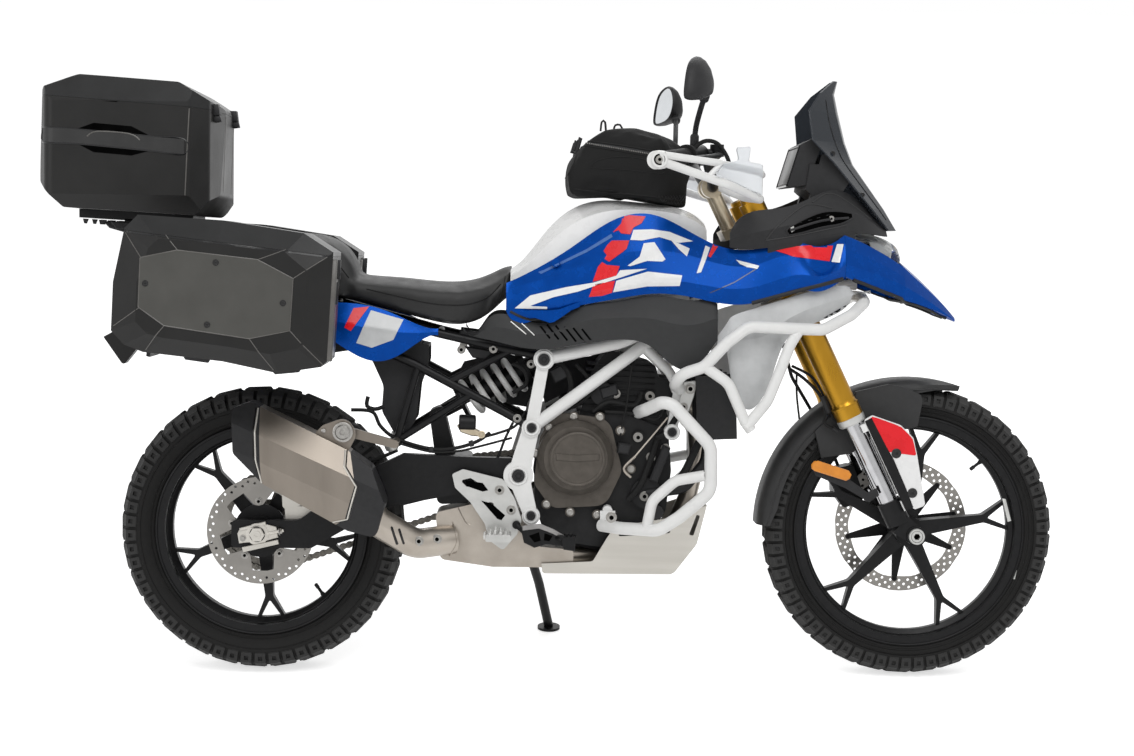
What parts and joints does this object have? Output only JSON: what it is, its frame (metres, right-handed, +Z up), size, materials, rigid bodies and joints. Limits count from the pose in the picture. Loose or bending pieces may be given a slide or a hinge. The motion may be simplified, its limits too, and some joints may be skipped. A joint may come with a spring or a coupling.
{
  "type": "adventure motorcycle",
  "caption": "Tall adventure motorcycle with trellis frame, crash bars, hand guards, hard panniers, top case and tank bag, leaning on its side stand.",
  "frame": {"origin": "middle of the leaned machine's bounding box, on the ground under the tyres", "axes": "+X forward, +Y to the rider's left, +Z up; the machine leans to the left on its stand"},
  "size_m": [2.2577, 1.0407, 1.424],
  "materials": {
    "white_paint": "gloss",
    "black_paint": "satin",
    "engine_metal": "cast",
    "bare_aluminium": "brushed",
    "muffler_metal": "brushed",
    "steel": "worn",
    "gold_anodised": "satin anodised",
    "chrome": "polished",
    "spring_white": "gloss",
    "black_plastic": "fine grain",
    "blue_panel": "gloss",
    "silver_panel": "satin",
    "smoked_screen": "clear",
    "lamp_lens": "clear",
    "case_plastic": "satin",
    "seat_vinyl": "grained",
    "bag_fabric": "woven",
    "grip_rubber": "ribbed",
    "tyre_rubber": "matt"
  },
  "bodies": {
    "chassis": {"main_frame": "white_paint", "subframe": "black_paint", "engine": "engine_metal", "engine_covers": "engine_metal", "radiator": "black_plastic", "skid_plate": "bare_aluminium", "exhaust_pipe": "steel", "muffler_body": "muffler_metal", "muffler_caps": "black_plastic", "swingarm": "black_paint", "rear_shock": "black_paint", "shock_spring": "spring_white", "rear_caliper": "engine_metal", "drive_chain": "steel", "rear_fender": "black_plastic", "rear_lamps": "lamp_lens", "fuel_tank": "white_paint", "side_panels": "blue_panel", "lower_side_covers": "black_plastic", "front_beak": "blue_panel", "tank_shrouds": "silver_panel", "windscreen": "smoked_screen", "fairing": "black_plastic", "display": "bare_aluminium", "headlight": "lamp_lens", "seat": "seat_vinyl", "tail_covers": "black_plastic", "upper_crash_bars": "white_paint", "lower_engine_guard": "white_paint", "heel_plates": "bare_aluminium", "foot_controls": "steel", "luggage_racks": "black_paint", "pannier_box_right": "case_plastic", "pannier_box_left": "case_plastic", "top_case_box": "case_plastic", "tank_bag": "bag_fabric"},
    "front_end": {"steering_yokes": "bare_aluminium", "fork_outer_tubes": "gold_anodised", "fork_inner_tubes": "chrome", "fork_bottoms": "black_paint", "handlebar": "black_paint", "grips": "grip_rubber", "hand_controls": "black_plastic", "hand_guards": "white_paint", "guard_shields": "smoked_screen", "mirrors": "black_plastic", "front_fender": "black_plastic", "fork_guards": "black_plastic", "front_brake": "engine_metal"},
    "front_wheel": {"front_tyre": "tyre_rubber", "front_rim": "black_paint", "front_brake_disc": "steel"},
    "rear_wheel": {"rear_tyre": "tyre_rubber", "rear_rim": "black_paint", "rear_brake_disc": "steel", "rear_sprocket": "steel"},
    "side_stand": {"side_stand": "black_paint"},
    "pannier_lid_right": {"pannier_lid_right": "case_plastic"},
    "pannier_lid_left": {"pannier_lid_left": "case_plastic"},
    "top_case_lid": {"top_case_lid": "case_plastic"}
  },
  "joints": [
    {"name": "steering", "type": "hinge", "parent": "chassis", "child": "front_end", "pos_m": [0.44739, -0.01473, 0.91589], "axis": [-0.4384, 0.1483, 0.8865], "range_deg": [-30, 30]},
    {"name": "front_wheel_spin", "type": "hinge", "parent": "front_end", "child": "front_wheel", "pos_m": [0.7975, -0.11325, 0.32715], "axis": [0, 0.9863, -0.165], "continuous": true},
    {"name": "rear_wheel_spin", "type": "hinge", "parent": "chassis", "child": "rear_wheel", "pos_m": [-0.6675, -0.11504, 0.3165], "axis": [0, 0.9863, -0.165], "continuous": true},
    {"name": "side_stand_fold", "type": "hinge", "parent": "chassis", "child": "side_stand", "pos_m": [-0.0675, 0.01135, 0.23563], "axis": [-0.1691, 0.9851, 0.0311], "range_deg": [0, 95]},
    {"name": "pannier_lid_right_hinge", "type": "hinge", "parent": "chassis", "child": "pannier_lid_right", "pos_m": [-0.7015, -0.25662, 0.99122], "axis": [-0.9938, 0.0183, 0.1094], "range_deg": [0, 45]},
    {"name": "pannier_lid_left_hinge", "type": "hinge", "parent": "chassis", "child": "pannier_lid_left", "pos_m": [-0.7015, 0.2385, 0.90837], "axis": [0.9938, -0.0183, -0.1094], "range_deg": [0, 45]},
    {"name": "top_case_lid_hinge", "type": "hinge", "parent": "chassis", "child": "top_case_lid", "pos_m": [-0.7455, 0.03773, 1.22941], "axis": [0, 0.9863, -0.165], "range_deg": [0, 80]}
  ]
}
